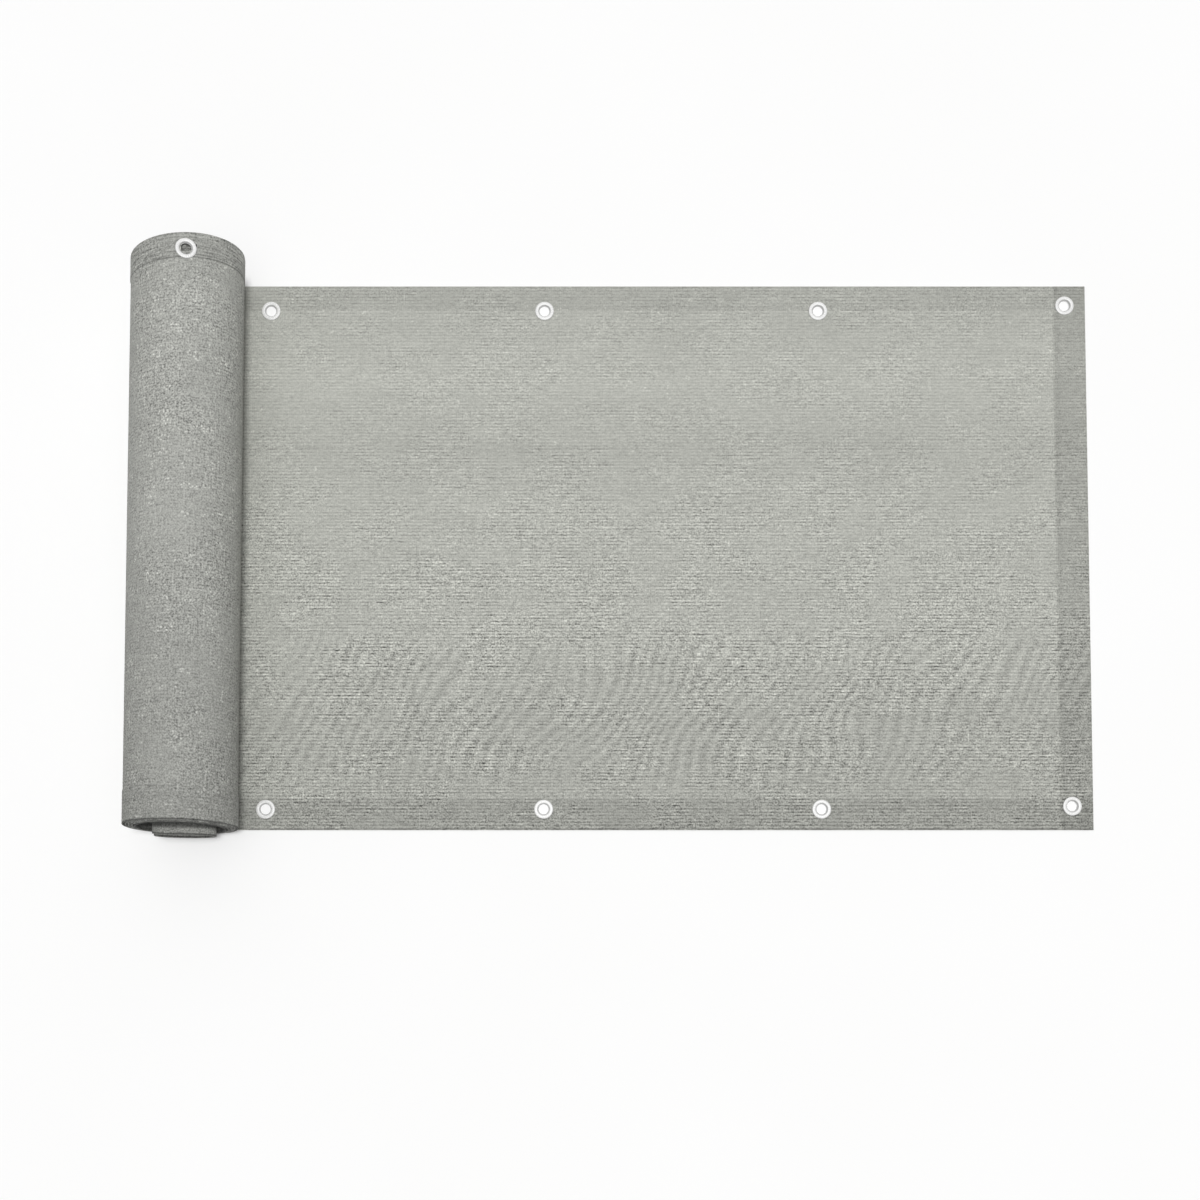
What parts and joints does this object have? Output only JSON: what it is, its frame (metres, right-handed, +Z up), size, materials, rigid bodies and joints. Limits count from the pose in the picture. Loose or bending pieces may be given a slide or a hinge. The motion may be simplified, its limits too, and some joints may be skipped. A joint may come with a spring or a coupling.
{
  "type": "balcony privacy screen",
  "caption": "Knitted sage-grey balcony privacy screen with hemmed edges and metal eyelets, laid flat with its far end rolled up.",
  "frame": {"origin": "On the surface that the screen lies on, in the middle of its outline there", "axes": "+X along the screen's length away from the roll, +Y across it towards the top hem, +Z up"},
  "size_m": [1.5402, 0.924, 0.1744],
  "materials": {
    "knit": "matt open knit, sage grey",
    "hem_knit": "matt knit, doubled and sewn",
    "eyelet_metal": "bright, pressed"
  },
  "bodies": {
    "root": {"roll": "knit", "flat_field": "knit", "top_strip": "hem_knit", "bottom_strip": "hem_knit", "top_eyelet_1": "eyelet_metal", "top_eyelet_2": "eyelet_metal", "top_eyelet_3": "eyelet_metal", "top_eyelet_4": "eyelet_metal", "bottom_eyelet_1": "eyelet_metal", "bottom_eyelet_2": "eyelet_metal", "bottom_eyelet_3": "eyelet_metal", "bottom_eyelet_4": "eyelet_metal", "roll_eyelet": "eyelet_metal"}
  },
  "joints": []
}
